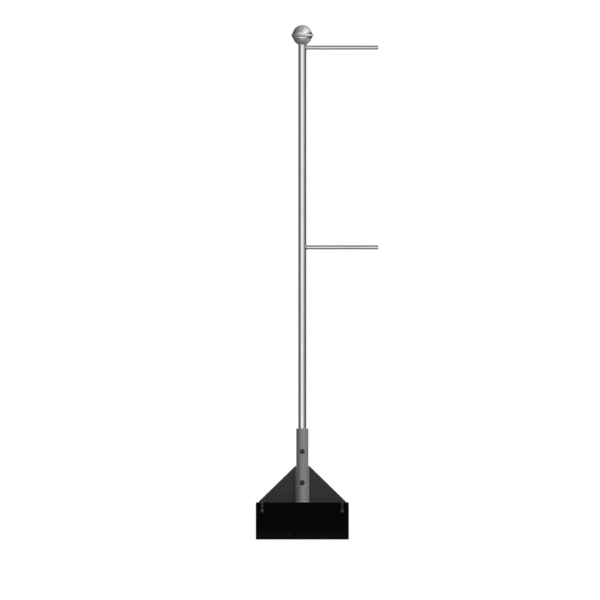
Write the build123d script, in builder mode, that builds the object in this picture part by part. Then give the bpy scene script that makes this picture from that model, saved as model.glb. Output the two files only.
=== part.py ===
from build123d import *

import os
from math import sqrt

# Flagpole in millimetres: a tube that stands in a welded sleeve on a block, with two banner arms
# and a ball on top. The origin is on the block's underside, on the pole's axis. +Z points up,
# +X along the banner arms and -Y to the front, where the heads of the fixing bolts are.

# Pole
POLE_HEIGHT = 3000  # from the block's top to the top of the ball
TUBE_OD = 50
TUBE_WALL = 3

# Block
BLOCK_WIDTH = 585
BLOCK_DEPTH = 585
BLOCK_HEIGHT = 235
BLOCK_CHAMFER = 6

# Base plate, let in flush with the block's top
PLATE_THICKNESS = 12
PLATE_RIM = 16  # concrete left round the recess
PLATE_GAP = 1.5  # joint between the plate and the recess
PLATE_CORNER = 8
PLATE_EDGE = 1

# Sleeve that the tube stands in
SLEEVE_HEIGHT = 463
SLEEVE_WALL = 12.5
SLEEVE_CLEARANCE = 0.55  # between the tube and the sleeve's bore
SLEEVE_RIM = 2
SLEEVE_LEAD_IN = 1

# Gussets
GUSSET_HEIGHT = 228
GUSSET_THICKNESS = 8
GUSSET_NOSE = 5  # height of the outer end
GUSSET_LAND = 6  # flat top beside the sleeve
GUSSET_SETBACK = 2  # from the plate's edge
GUSSET_SNIPE = 10  # inner corner cut off over the sleeve's weld
GUSSET_EDGE = 1  # taken off along the slope

# Welds
SLEEVE_WELD = 7
GUSSET_WELD = 5
ARM_WELD = 4
ARM_WELD_TOE = 0.8  # thickness left at the weld's two toes

# Bolts, nuts and washers
BOLT_DIAMETER = 16
BOLT_HOLE = 17
BOLT_TIP = 1.5
HEX_WIDTH = 24  # across the flats
HEX_CROWN = 1.2
WASHER_FACE = 0.5  # small crown under the bolt's head
HEAD_HEIGHT = 10
NUT_HEIGHT = 13
NUT_CLEARANCE = 0.1
WASHER_OD = 30
WASHER_THICKNESS = 3
WASHER_CLEARANCE = 0.5

# Hold-down bolts in the plate's corners and the barrel nuts that they turn in
HOLD_DOWN_INSET = 23  # from the plate's edges
BARREL_DIAMETER = 26
BARREL_BORE_CLEARANCE = 0.5
BARREL_DEPTH = 54  # axis below the block's top
BARREL_SETBACK = 10.5  # behind the block's face
BARREL_END_GAP = 1
BARREL_CHAMFER = 1.5
BARREL_SLOT_WIDTH = 3
BARREL_SLOT_DEPTH = 3
POCKET_SLOT_WIDTH = 18
HOLD_DOWN_TAIL_GAP = 2  # shank's end above the barrel nut's underside

# Fixing bolts through the sleeve and the tube
UPPER_FIXING_HEIGHT = 319  # above the block's top
LOWER_FIXING_HEIGHT = 123
SPOT_FACE = 34
BUTTON_FLANGE_OD = 30
BUTTON_FLANGE = 2.5
BUTTON_DOME_OD = 27
BUTTON_CROWN_OD = 13
BUTTON_HEIGHT = 8
BUTTON_BULGE = 1.4  # how far the dome stands out from a straight cone
SOCKET_WIDTH = 10
SOCKET_DEPTH = 5
FIXING_TAIL = 4  # shank past the nut

# Banner arms
ARM_OD = 25
ARM_WALL = 2
ARM_REACH = 478  # from the pole's axis to the end of the cap
LOWER_ARM_HEIGHT = 1602  # above the block's top
UPPER_ARM_GAP = 2  # between the ball's seat and the upper arm's weld
CAP_FLANGE = 3
CAP_STEP = 0.5  # the cap's flange is this much smaller in radius than the arm
CAP_CHAMFER = 1
CAP_PLUG_LENGTH = 15
CAP_CLEARANCE = 0.1

# Ball
BALL_OD = 120
BALL_STRAIGHT = 9  # parallel length between the two domes
BALL_WALL = 2
SEAT_THICKNESS = 3
BOSS_OD = 30
BOSS_HEIGHT = 14
BAND_OD = 140
BAND_ROOT_OD = 121
BAND_HEIGHT = 32
BAND_TIP_HEIGHT = 10
BAND_TIP_RADIUS = 10

# Plug that holds the ball in the top of the tube
PLUG_LENGTH = 60
PLUG_CLEARANCE = 0.1
PLUG_CHAMFER = 2
STUD_DIAMETER = 12
STUD_LENGTH = 25
STUD_CLEARANCE = 0.2
STUD_TIP = 1.5

# Levels and places that follow from the sizes above
block_top = BLOCK_HEIGHT
plate_bottom = block_top - PLATE_THICKNESS
plate_width = BLOCK_WIDTH - 2 * (PLATE_RIM + PLATE_GAP)
plate_depth = BLOCK_DEPTH - 2 * (PLATE_RIM + PLATE_GAP)
bolt_x = plate_width / 2 - HOLD_DOWN_INSET
bolt_y = plate_depth / 2 - HOLD_DOWN_INSET
barrel_level = block_top - BARREL_DEPTH
barrel_face = BLOCK_DEPTH / 2 - BARREL_SETBACK
barrel_length = 2 * (barrel_face - bolt_y)
pocket_radius = BARREL_DIAMETER / 2 + BARREL_BORE_CLEARANCE

tube_radius = TUBE_OD / 2
tube_bore = tube_radius - TUBE_WALL
sleeve_bore = tube_radius + SLEEVE_CLEARANCE
sleeve_radius = sleeve_bore + SLEEVE_WALL
seat_distance = sqrt(sleeve_radius**2 - (SPOT_FACE / 2) ** 2)
fixing_levels = {
    "upper": block_top + UPPER_FIXING_HEIGHT,
    "lower": block_top + LOWER_FIXING_HEIGHT,
}

ball_radius = BALL_OD / 2
ball_top = block_top + POLE_HEIGHT
upper_centre = ball_top - ball_radius
lower_centre = upper_centre - BALL_STRAIGHT
ball_middle = (upper_centre + lower_centre) / 2
tube_top = lower_centre - sqrt(ball_radius**2 - tube_radius**2)

arm_radius = ARM_OD / 2
arm_levels = {
    "upper": tube_top - UPPER_ARM_GAP - ARM_WELD - arm_radius,
    "lower": block_top + LOWER_ARM_HEIGHT,
}

SIDES = {"left": -1, "right": 1}
FACES = {"front": -1, "back": 1}


def finish(piece, name):
    """Label a finished piece and write its STEP file."""
    piece.part.label = name
    export_step(piece.part, f"parts/{name}.step")


def profile_plane(seat):
    """The plane for a turned profile: its y axis runs along the seat's normal."""
    return Plane(origin=seat.origin, x_dir=seat.x_dir, z_dir=-seat.y_dir)


def turning_axis(seat):
    """The axis that a profile on the seat's profile plane is turned about."""
    return Axis(seat.origin, seat.z_dir)


def hex_crown(height, foot_crown):
    """Corners of a turned profile that takes off a hexagon's own corners at 30 degrees, at both ends."""
    corner = HEX_WIDTH / sqrt(3)
    return [
        (0, 0),
        (corner - foot_crown * sqrt(3), 0),
        (corner, foot_crown),
        (corner, height - HEX_CROWN),
        (corner - HEX_CROWN * sqrt(3), height),
        (0, height),
    ]


def front_plane(level):
    """The upright plane through the pole's axis, seen from the front, at a level."""
    return Plane(origin=(0, 0, level), x_dir=(1, 0, 0), z_dir=(0, -1, 0))


def side_plane(x, level):
    """An upright plane across the banner arms, at a distance from the pole's axis."""
    return Plane(origin=(x, 0, level), x_dir=(0, 1, 0), z_dir=(1, 0, 0))


def face_seat(face, distance, x, level):
    """An upright plane that looks out of the front or the back."""
    return Plane(origin=(x, face * distance, level), x_dir=(1, 0, 0), z_dir=(0, face, 0))


def make_washer(name, seat):
    """Plain washer that lies on its seat."""
    with BuildPart() as washer:
        with BuildSketch(seat):
            Circle(WASHER_OD / 2)
            Circle(BOLT_DIAMETER / 2 + WASHER_CLEARANCE, mode=Mode.SUBTRACT)
        extrude(amount=WASHER_THICKNESS)
    finish(washer, name)


os.makedirs("parts", exist_ok=True)


# Base block: chamfered square block with the plate's recess and a keyhole pocket at each corner
with BuildPart() as base_block:
    with BuildSketch(Plane.XY):
        Rectangle(BLOCK_WIDTH, BLOCK_DEPTH)
    extrude(amount=BLOCK_HEIGHT)
    upright_edges = base_block.edges().filter_by(Axis.Z)
    top_edges = base_block.faces().sort_by(Axis.Z)[-1].edges()
    chamfer(upright_edges + top_edges, BLOCK_CHAMFER)
    with BuildSketch(Plane.XY.offset(block_top)):
        RectangleRounded(
            plate_width + 2 * PLATE_GAP, plate_depth + 2 * PLATE_GAP, PLATE_CORNER + PLATE_GAP
        )
    extrude(amount=-PLATE_THICKNESS, mode=Mode.SUBTRACT)
    for face in FACES.values():
        # the round bore that the barrel nut lies in
        with BuildSketch(face_seat(face, BLOCK_DEPTH / 2, 0, barrel_level)):
            with Locations((-bolt_x, 0), (bolt_x, 0)):
                Circle(pocket_radius)
        extrude(amount=-(BARREL_SETBACK + barrel_length + BARREL_END_GAP), mode=Mode.SUBTRACT)
        # the slot above it, open to the face and the top, with a round end behind the bolt
        slot_run = BLOCK_DEPTH / 2 - bolt_y
        with BuildSketch(Plane.XY.offset(barrel_level)):
            with Locations((-bolt_x, face * bolt_y), (bolt_x, face * bolt_y)):
                Circle(POCKET_SLOT_WIDTH / 2)
            slot_middle = face * (bolt_y + slot_run / 2)
            with Locations((-bolt_x, slot_middle), (bolt_x, slot_middle)):
                Rectangle(POCKET_SLOT_WIDTH, slot_run)
        extrude(amount=BARREL_DEPTH, mode=Mode.SUBTRACT)
finish(base_block, "base_block")


# Base plate: rounded corners and a hole for each hold-down bolt
with BuildPart() as base_plate:
    with BuildSketch(Plane.XY.offset(plate_bottom)):
        RectangleRounded(plate_width, plate_depth, PLATE_CORNER)
        with GridLocations(2 * bolt_x, 2 * bolt_y, 2, 2):
            Circle(BOLT_HOLE / 2, mode=Mode.SUBTRACT)
    extrude(amount=PLATE_THICKNESS)
    chamfer(base_plate.faces().sort_by(Axis.Z)[-1].outer_wire().edges(), PLATE_EDGE)
finish(base_plate, "base_plate")


# Hold-down bolt: hexagon head on its washer, shank down through the plate into the barrel nut
def make_hold_down_bolt(name, x, y):
    seat = Plane.XY.offset(block_top + WASHER_THICKNESS).move(Location((x, y, 0)))
    tail_level = barrel_level - BARREL_DIAMETER / 2 + HOLD_DOWN_TAIL_GAP
    with BuildPart() as bolt:
        with BuildSketch(seat):
            RegularPolygon(HEX_WIDTH / 2, 6, major_radius=False)
        extrude(amount=HEAD_HEIGHT)
        with BuildSketch(profile_plane(seat)):
            with BuildLine():
                Polyline(*hex_crown(HEAD_HEIGHT, WASHER_FACE), close=True)
            make_face()
        revolve(axis=turning_axis(seat), mode=Mode.INTERSECT)
        with BuildSketch(seat):
            Circle(BOLT_DIAMETER / 2)
        extrude(amount=tail_level - seat.origin.Z)
        chamfer(bolt.faces().sort_by(Axis.Z)[0].edges(), BOLT_TIP)
    finish(bolt, name)


# Barrel nut: a cross-drilled round bar with a turning slot in its outer end
def make_barrel_nut(name, x, face):
    outer_end = face_seat(face, barrel_face, x, barrel_level)
    with BuildPart() as nut:
        with BuildSketch(outer_end):
            Circle(BARREL_DIAMETER / 2)
        extrude(amount=-barrel_length)
        chamfer(nut.edges().filter_by(GeomType.CIRCLE), BARREL_CHAMFER)
        with BuildSketch(outer_end):
            Rectangle(BARREL_DIAMETER, BARREL_SLOT_WIDTH)
        extrude(amount=-BARREL_SLOT_DEPTH, mode=Mode.SUBTRACT)
        with BuildSketch(Plane.XY.offset(barrel_level)):
            with Locations((x, face * bolt_y)):
                Circle(BOLT_DIAMETER / 2 + NUT_CLEARANCE)
        extrude(amount=BARREL_DIAMETER / 2, both=True, mode=Mode.SUBTRACT)
    finish(nut, name)


for face_name, face in FACES.items():
    for side_name, side in SIDES.items():
        corner = f"{face_name}_{side_name}"
        washer_seat = Plane.XY.offset(block_top).move(
            Location((side * bolt_x, face * bolt_y, 0))
        )
        make_washer(f"hold_down_washer_{corner}", washer_seat)
        make_hold_down_bolt(f"hold_down_bolt_{corner}", side * bolt_x, face * bolt_y)
        make_barrel_nut(f"barrel_nut_{corner}", side * bolt_x, face)


# Pole sleeve: thick tube with a lead-in at its mouth and a flat spot for each bolt head and washer
with BuildPart() as pole_sleeve:
    with BuildSketch(Plane.XY.offset(block_top)):
        Circle(sleeve_radius)
        Circle(sleeve_bore, mode=Mode.SUBTRACT)
    extrude(amount=SLEEVE_HEIGHT)
    mouth_edges = pole_sleeve.faces().sort_by(Axis.Z)[-1].edges().sort_by(SortBy.RADIUS)
    chamfer(mouth_edges[-1], SLEEVE_RIM)
    mouth_edges = pole_sleeve.faces().sort_by(Axis.Z)[-1].edges().sort_by(SortBy.RADIUS)
    chamfer(mouth_edges[0], SLEEVE_LEAD_IN)
    for level in fixing_levels.values():
        for face in FACES.values():
            with BuildSketch(face_seat(face, seat_distance, 0, level)):
                Circle(SPOT_FACE / 2)
            extrude(amount=sleeve_radius - seat_distance, mode=Mode.SUBTRACT)
        with BuildSketch(front_plane(level)):
            Circle(BOLT_HOLE / 2)
        extrude(amount=sleeve_radius, both=True, mode=Mode.SUBTRACT)
finish(pole_sleeve, "pole_sleeve")


# Gusset: triangular rib from the sleeve to the plate's edge, its inner edge cut round the sleeve and
# its slope chamfered on both faces
def make_gusset(name, side):
    foot = plate_width / 2 - GUSSET_SETBACK
    with BuildPart() as gusset:
        with BuildSketch(front_plane(block_top)):
            with BuildLine():
                Polyline(
                    (side * tube_radius, GUSSET_HEIGHT),
                    (side * (sleeve_radius + GUSSET_LAND), GUSSET_HEIGHT),
                    (side * foot, GUSSET_NOSE),
                    (side * foot, 0),
                    (side * (sleeve_radius + GUSSET_SNIPE), 0),
                    (side * sleeve_radius, GUSSET_SNIPE),
                    (side * tube_radius, GUSSET_SNIPE),
                    close=True,
                )
            make_face()
        extrude(amount=GUSSET_THICKNESS / 2, both=True)
        with BuildSketch(Plane.XY.offset(block_top)):
            Circle(sleeve_radius)
        extrude(amount=GUSSET_HEIGHT, mode=Mode.SUBTRACT)
        slope_edges = gusset.edges().sort_by(SortBy.LENGTH)[-2:]
        chamfer(slope_edges, GUSSET_EDGE)
    finish(gusset, name)


for side_name, side in SIDES.items():
    make_gusset(f"{side_name}_gusset", side)


# Base weld: fillet round the sleeve's foot, and along both faces of each gusset
with BuildPart() as base_weld:
    with BuildSketch(front_plane(block_top)):
        with BuildLine():
            Polyline(
                (sleeve_radius, 0),
                (sleeve_radius + SLEEVE_WELD, 0),
                (sleeve_radius, SLEEVE_WELD),
                close=True,
            )
        make_face()
    revolve(axis=Axis.Z)
    half_rib = GUSSET_THICKNESS / 2
    rib_start = sleeve_radius + GUSSET_SNIPE
    rib_length = plate_width / 2 - GUSSET_SETBACK - rib_start
    corner_x = sqrt(sleeve_radius**2 - (half_rib + GUSSET_WELD) ** 2)
    for side in SIDES.values():
        for face in FACES.values():
            # along the plate
            with BuildSketch(side_plane(side * rib_start, block_top)):
                with BuildLine():
                    Polyline(
                        (face * half_rib, 0),
                        (face * (half_rib + GUSSET_WELD), 0),
                        (face * half_rib, GUSSET_WELD),
                        close=True,
                    )
                make_face()
            extrude(amount=side * rib_length)
            # up the sleeve
            with BuildSketch(Plane.XY.offset(block_top + GUSSET_SNIPE)):
                with BuildLine():
                    Polyline(
                        (side * tube_radius, face * half_rib),
                        (side * (sleeve_radius + GUSSET_WELD), face * half_rib),
                        (side * corner_x, face * (half_rib + GUSSET_WELD)),
                        (side * tube_radius, face * (half_rib + GUSSET_WELD)),
                        close=True,
                    )
                make_face()
            extrude(amount=GUSSET_HEIGHT - GUSSET_SNIPE)
    with BuildSketch(Plane.XY.offset(block_top)):
        Circle(sleeve_radius)
    extrude(amount=GUSSET_HEIGHT, mode=Mode.SUBTRACT)
finish(base_weld, "base_weld")


# Pole tube: stands on the plate inside the sleeve and runs up to the ball's seat
with BuildPart() as pole_tube:
    with BuildSketch(Plane.XY.offset(block_top)):
        Circle(tube_radius)
        Circle(tube_bore, mode=Mode.SUBTRACT)
    extrude(amount=tube_top - block_top)
    for level in fixing_levels.values():
        with BuildSketch(front_plane(level)):
            Circle(BOLT_HOLE / 2)
        extrude(amount=tube_radius, both=True, mode=Mode.SUBTRACT)
finish(pole_tube, "pole_tube")


# Fixing bolt: flanged button head with a hexagon socket, and a shank through to the nut
def make_fixing_bolt(name, level):
    seat = face_seat(FACES["front"], seat_distance, 0, level)
    tail = -(2 * seat_distance + WASHER_THICKNESS + NUT_HEIGHT + FIXING_TAIL)
    shank = BOLT_DIAMETER / 2
    with BuildPart() as bolt:
        with BuildSketch(profile_plane(seat)):
            with BuildLine():
                SagittaArc(
                    (BUTTON_CROWN_OD / 2, BUTTON_HEIGHT),
                    (BUTTON_DOME_OD / 2, BUTTON_FLANGE),
                    BUTTON_BULGE,
                )
                Polyline(
                    (BUTTON_CROWN_OD / 2, BUTTON_HEIGHT),
                    (0, BUTTON_HEIGHT),
                    (0, tail),
                    (shank - BOLT_TIP, tail),
                    (shank, tail + BOLT_TIP),
                    (shank, 0),
                    (BUTTON_FLANGE_OD / 2, 0),
                    (BUTTON_FLANGE_OD / 2, BUTTON_FLANGE),
                    (BUTTON_DOME_OD / 2, BUTTON_FLANGE),
                )
            make_face()
        revolve(axis=turning_axis(seat))
        with BuildSketch(seat.offset(BUTTON_HEIGHT)):
            RegularPolygon(SOCKET_WIDTH / 2, 6, major_radius=False)
        extrude(amount=-SOCKET_DEPTH, mode=Mode.SUBTRACT)
    finish(bolt, name)


# Fixing nut: hexagon with a turned crown at both ends, on its washer at the back of the sleeve
def make_fixing_nut(name, seat):
    with BuildPart() as nut:
        with BuildSketch(seat):
            RegularPolygon(HEX_WIDTH / 2, 6, major_radius=False)
        extrude(amount=NUT_HEIGHT)
        with BuildSketch(profile_plane(seat)):
            with BuildLine():
                Polyline(*hex_crown(NUT_HEIGHT, HEX_CROWN), close=True)
            make_face()
        revolve(axis=turning_axis(seat), mode=Mode.INTERSECT)
        with BuildSketch(seat):
            Circle(BOLT_DIAMETER / 2 + NUT_CLEARANCE)
        extrude(amount=NUT_HEIGHT, mode=Mode.SUBTRACT)
    finish(nut, name)


for place, level in fixing_levels.items():
    back_seat = face_seat(FACES["back"], seat_distance, 0, level)
    make_fixing_bolt(f"{place}_fixing_bolt", level)
    make_washer(f"{place}_fixing_washer", back_seat)
    make_fixing_nut(f"{place}_fixing_nut", back_seat.offset(WASHER_THICKNESS))


# Banner arm: a tube coped round the pole at its root
def make_arm(name, level):
    with BuildPart() as arm:
        with BuildSketch(side_plane(0, level)):
            Circle(arm_radius)
            Circle(arm_radius - ARM_WALL, mode=Mode.SUBTRACT)
        extrude(amount=ARM_REACH - CAP_FLANGE)
        with BuildSketch(Plane.XY.offset(level - ARM_OD)):
            Circle(tube_radius)
        extrude(amount=2 * ARM_OD, mode=Mode.SUBTRACT)
    finish(arm, name)


# Arm weld: the ring in the corner between the pole and the arm, its outer edge cut back to thin toes
def make_arm_weld(name, level):
    reach = tube_radius + ARM_WELD
    across = side_plane(0, level)
    with BuildPart() as weld:
        with BuildSketch(across):
            Circle(arm_radius + ARM_WELD)
        extrude(amount=reach)
        with BuildSketch(Plane.XY.offset(level - ARM_OD)):
            Circle(reach)
        extrude(amount=2 * ARM_OD, mode=Mode.INTERSECT)
        with BuildSketch(Plane.XY.offset(level - ARM_OD)):
            Circle(tube_radius)
        extrude(amount=2 * ARM_OD, mode=Mode.SUBTRACT)
        outer_edge = weld.edges().sort_by(Axis.X)[-1]
        chamfer(outer_edge, ARM_WELD - ARM_WELD_TOE)
        with BuildSketch(across):
            Circle(arm_radius)
        extrude(amount=reach, mode=Mode.SUBTRACT)
    finish(weld, name)


# Arm cap: a chamfered flange on the arm's end with a plug inside it
def make_arm_cap(name, level):
    arm_end = side_plane(ARM_REACH - CAP_FLANGE, level)
    with BuildPart() as cap:
        with BuildSketch(arm_end):
            Circle(arm_radius - CAP_STEP)
        extrude(amount=CAP_FLANGE)
        chamfer(cap.faces().sort_by(Axis.X)[-1].edges(), CAP_CHAMFER)
        with BuildSketch(arm_end):
            Circle(arm_radius - ARM_WALL - CAP_CLEARANCE)
        extrude(amount=-CAP_PLUG_LENGTH)
    finish(cap, name)


for place, level in arm_levels.items():
    make_arm(f"{place}_arm", level)
    make_arm_weld(f"{place}_arm_weld", level)
    make_arm_cap(f"{place}_arm_cap", level)


# Finial plug: a round plug in the top of the tube with the stud that the ball screws onto
with BuildPart() as finial_plug:
    with BuildSketch(Plane.XY.offset(tube_top)):
        Circle(tube_bore - PLUG_CLEARANCE)
    extrude(amount=-PLUG_LENGTH)
    chamfer(finial_plug.faces().sort_by(Axis.Z)[0].edges(), PLUG_CHAMFER)
    with BuildSketch(Plane.XY.offset(tube_top)):
        Circle(STUD_DIAMETER / 2)
    extrude(amount=STUD_LENGTH)
    chamfer(finial_plug.faces().sort_by(Axis.Z)[-1].edges(), STUD_TIP)
finish(finial_plug, "finial_plug")


# Ball: two spun shells that meet at the middle, under the band
inner_radius = ball_radius - BALL_WALL


def dome(centre, radius, start, end):
    """Arc of a dome's half profile between two heights, on the side of the positive x axis."""
    points = [(sqrt(max(radius**2 - (z - centre) ** 2, 0)), z) for z in (start, (start + end) / 2, end)]
    return ThreePointArc(*points)


# Lower shell: a flat seat on the tube's end and a boss for the stud
seat_top = tube_top + SEAT_THICKNESS
boss_top = tube_top + BOSS_HEIGHT
stud_bore = STUD_DIAMETER / 2 + STUD_CLEARANCE
with BuildPart() as finial_lower_shell:
    with BuildSketch(Plane.XZ):
        with BuildLine():
            outside = dome(lower_centre, ball_radius, tube_top, lower_centre)
            inside = dome(lower_centre, inner_radius, lower_centre, seat_top)
            Polyline(outside @ 1, (ball_radius, ball_middle), (inner_radius, ball_middle), inside @ 0)
            Polyline(
                inside @ 1,
                (BOSS_OD / 2, seat_top),
                (BOSS_OD / 2, boss_top),
                (stud_bore, boss_top),
                (stud_bore, tube_top),
                outside @ 0,
            )
        make_face()
    revolve(axis=Axis.Z)
finish(finial_lower_shell, "finial_lower_shell")


# Upper shell: a dome with a short parallel skirt
with BuildPart() as finial_upper_shell:
    with BuildSketch(Plane.XZ):
        with BuildLine():
            outside = dome(upper_centre, ball_radius, upper_centre, ball_top)
            inside = dome(upper_centre, inner_radius, upper_centre, ball_top - BALL_WALL)
            Polyline(outside @ 0, (ball_radius, ball_middle), (inner_radius, ball_middle), inside @ 0)
            Line(outside @ 1, inside @ 1)
        make_face()
    revolve(axis=Axis.Z)
finish(finial_upper_shell, "finial_upper_shell")


# Band: a ring with sloping shoulders and a narrow rim, turned to fit the ball's outside
with BuildPart() as finial_band:
    with BuildSketch(Plane.XZ):
        with BuildLine():
            Polyline(
                (inner_radius, ball_middle - BAND_HEIGHT / 2),
                (BAND_ROOT_OD / 2, ball_middle - BAND_HEIGHT / 2),
                (BAND_OD / 2, ball_middle - BAND_TIP_HEIGHT / 2),
                (BAND_OD / 2, ball_middle + BAND_TIP_HEIGHT / 2),
                (BAND_ROOT_OD / 2, ball_middle + BAND_HEIGHT / 2),
                (inner_radius, ball_middle + BAND_HEIGHT / 2),
                close=True,
            )
        make_face()
    revolve(axis=Axis.Z)
    rim_edges = finial_band.edges().filter_by(
        lambda edge: edge.geom_type == GeomType.CIRCLE and abs(edge.radius - BAND_OD / 2) < 0.01
    )
    fillet(rim_edges, BAND_TIP_RADIUS)
    with BuildSketch(Plane.XZ):
        with BuildLine():
            lower = dome(lower_centre, ball_radius, lower_centre - BAND_HEIGHT, lower_centre)
            upper = dome(upper_centre, ball_radius, upper_centre, upper_centre + BAND_HEIGHT)
            Line(lower @ 1, upper @ 0)
            Polyline(upper @ 1, (0, upper_centre + BAND_HEIGHT), (0, lower_centre - BAND_HEIGHT), lower @ 0)
        make_face()
    revolve(axis=Axis.Z, mode=Mode.SUBTRACT)
finish(finial_band, "finial_band")
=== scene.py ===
from math import pi, radians, sqrt

import bmesh
import bpy
import numpy as np
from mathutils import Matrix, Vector


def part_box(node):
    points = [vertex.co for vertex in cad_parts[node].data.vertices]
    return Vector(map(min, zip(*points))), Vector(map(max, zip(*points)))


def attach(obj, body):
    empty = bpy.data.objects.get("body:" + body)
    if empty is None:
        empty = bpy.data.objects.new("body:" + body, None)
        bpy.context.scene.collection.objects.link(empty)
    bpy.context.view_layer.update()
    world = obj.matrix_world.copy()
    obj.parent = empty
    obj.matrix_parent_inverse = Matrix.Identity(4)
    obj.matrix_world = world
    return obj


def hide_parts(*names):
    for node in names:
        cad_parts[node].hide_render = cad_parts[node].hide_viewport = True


bl_info = {
    "name": "Flagpole Finish",
    "version": (1, 0, 0),
    "blender": (4, 5, 0),
    "location": "3D View > Sidebar > Flagpole",
    "description": "Finishes, weld beads, threaded bolts and a studio for a flagpole on a block",
    "category": "Object",
}

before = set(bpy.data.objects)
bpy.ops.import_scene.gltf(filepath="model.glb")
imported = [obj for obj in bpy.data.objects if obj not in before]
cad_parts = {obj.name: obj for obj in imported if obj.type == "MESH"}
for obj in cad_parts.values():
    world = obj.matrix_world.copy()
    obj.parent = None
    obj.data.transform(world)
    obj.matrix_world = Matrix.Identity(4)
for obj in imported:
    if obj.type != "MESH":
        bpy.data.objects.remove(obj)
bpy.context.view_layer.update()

POLE_BODY = "root"
SIDES = {"left": -1, "right": 1}
FACES = {"front": -1, "back": 1}
PLACES = ("upper", "lower")

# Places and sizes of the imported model, in metres

block_low, block_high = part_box("base_block")
plate_low, plate_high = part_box("base_plate")
band_low, band_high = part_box("finial_band")
gusset_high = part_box("right_gusset")[1]
foot_weld_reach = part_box("base_weld")[1].y
block_top = block_high.z
sleeve_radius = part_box("pole_sleeve")[1].x
tube_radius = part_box("pole_tube")[1].x
ball_middle = (band_low.z + band_high.z) / 2
band_reach = band_high.x
shell_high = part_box("finial_upper_shell")[1]
shell_radius = shell_high.x
upper_shell_centre = shell_high.z - shell_radius

# Height of each shell's centre, and 1 for the shell above the band or -1 for the one below it
SHELL_CENTRES = ((upper_shell_centre, 1), (2 * ball_middle - upper_shell_centre, -1))


# Kinds of setting

def number_setting(label, text, default, **kind):
    """A number that isn't negative. Its kind gives it a unit or a limit."""
    return bpy.props.FloatProperty(name=label, description=text, min=0, default=default, **kind)


def length_setting(label, text, default):
    """A length in metres."""
    return number_setting(label, text, default, unit="LENGTH", precision=5)


def angle_setting(label, text, default):
    """An angle, given in degrees here."""
    return number_setting(label, text, radians(default), subtype="ANGLE")


def share_setting(label, text, default):
    """A number from 0 to 1."""
    return number_setting(label, text, default, subtype="FACTOR", max=1)


def power_setting(label, text, default):
    """A lamp's power in watts."""
    return number_setting(label, text, default, unit="POWER")


def colour_setting(label, text, default):
    """A colour that the sidebar shows."""
    return bpy.props.FloatVectorProperty(
        name=label, description=text, subtype="COLOR", size=3, min=0, max=1, default=default,
    )


# Settings

class MetalSettings(bpy.types.PropertyGroup):
    """Colours and polish of the pole, the arms and the ball."""

    tube_colour: colour_setting("Tube", "Colour of the tube's metal", (0.7, 0.7, 0.7))
    tube_roughness: share_setting("Tube roughness", "Mean roughness of the satin tube", 0.22)
    tube_lines: number_setting("Tube lines", "Polishing lines in a metre across the tube's grain", 900)
    arm_colour: colour_setting("Arms", "Colour of the banner arms' metal", (0.62, 0.62, 0.62))
    arm_roughness: share_setting("Arm roughness", "Mean roughness of the satin arms", 0.18)
    weld_colour: colour_setting("Arm weld", "Colour of the arms' weld beads", (0.36, 0.358, 0.352))
    weld_tint: colour_setting("Arm weld's tint", "Straw tint of heat on the beads", (0.4, 0.392, 0.38))
    ball_colour: colour_setting("Ball", "Colour of the ball's satin shells", (0.385, 0.39, 0.4))
    band_colour: colour_setting("Band", "Colour of the band round the ball", (0.42, 0.43, 0.435))
    ball_metal: share_setting("Ball's bare metal", "How much of the ball's satin finish is bare metal", 0.54)
    rim_colour: colour_setting("Rims", "Colour of the polished rims beside the band", (0.8, 0.81, 0.815))
    # Painted shade: this dark colour darkens the band's corners beside the rims, on the ball's flanks, where
    # shade falls.
    crevice_shade_colour: colour_setting("Crevice", "Colour of the dirt in the band's corners", (0.05, 0.05, 0.052))
    ball_roughness: share_setting("Ball roughness", "Mean roughness of the spun ball", 0.36)
    ball_rings: number_setting("Ball rings", "Spinning rings in one radian of the ball", 260)
    band_height: length_setting("Band height", "Height of the band's ridge where it meets the ball", 0.025)
    band_tip: length_setting("Band tip", "How blunt the ridge is: a small length makes it sharp", 0.03)
    rim_level: length_setting("Rim level", "Height of the rims' middles above and below the band's", 0.013)
    rim_height: length_setting("Rim height", "Height of the flat rims above and below the band", 0.0085)
    rim_depth: length_setting("Rim depth", "How far the rims stand out of the ball", 0.003)
    rim_roughness: share_setting("Rim roughness", "Mean roughness of the polished rims", 0.27)
    # Painted shade: how far the dark crevice colour reaches past the rims.
    crevice_shade_width: length_setting("Crevice width", "How far the dirt at the rims reaches past them", 0.002)


class BaseSettings(bpy.types.PropertyGroup):
    """Colours and wear of the block, the painted steel, the sleeve and the bolts."""

    block_colour: colour_setting("Block", "Black paint on the block", (0.001, 0.0011, 0.0008))
    block_rub_colour: colour_setting("Rubbed block", "Concrete under thin paint", (0.016, 0.0155, 0.0145))
    block_rub_width: length_setting("Block's rubbed width", "Width of the wear along its edges", 0.011)
    pores: number_setting("Pores", "Cells of the cast surface in a metre, about a quarter with a pore", 55)
    pore_depth: length_setting("Pore depth", "Depth of the largest pores", 0.0012)
    paint_colour: colour_setting("Charcoal paint", "Paint on the plate and gussets", (0.02, 0.0175, 0.018))
    paint_rub_colour: colour_setting("Rubbed paint", "Steel at the paint's edges", (0.1, 0.095, 0.09))
    paint_rub_width: length_setting("Paint's rubbed width", "Wear along the plate's edges", 0.004)
    sleeve_colour: colour_setting("Sleeve", "Dull grey of the sleeve", (0.187, 0.183, 0.176))
    # Partly painted light: the lighter dust also lifts the sleeve's foot, which the plate and the gussets
    # shade.
    sleeve_dust_and_light_reach: length_setting("Dust on the sleeve", "How far up the sleeve the dust reaches", 0.2)
    fixing_colour: colour_setting("Fixing bolts", "Dark finish of the sleeve's bolts", (0.042, 0.04, 0.038))
    zinc_colour: colour_setting("Hold-down bolts", "Zinc on the shanks in the block", (0.42, 0.42, 0.41))
    barrel_colour: colour_setting("Barrel nuts", "Dark zinc of the nuts in the block", (0.034, 0.034, 0.0335))


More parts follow.
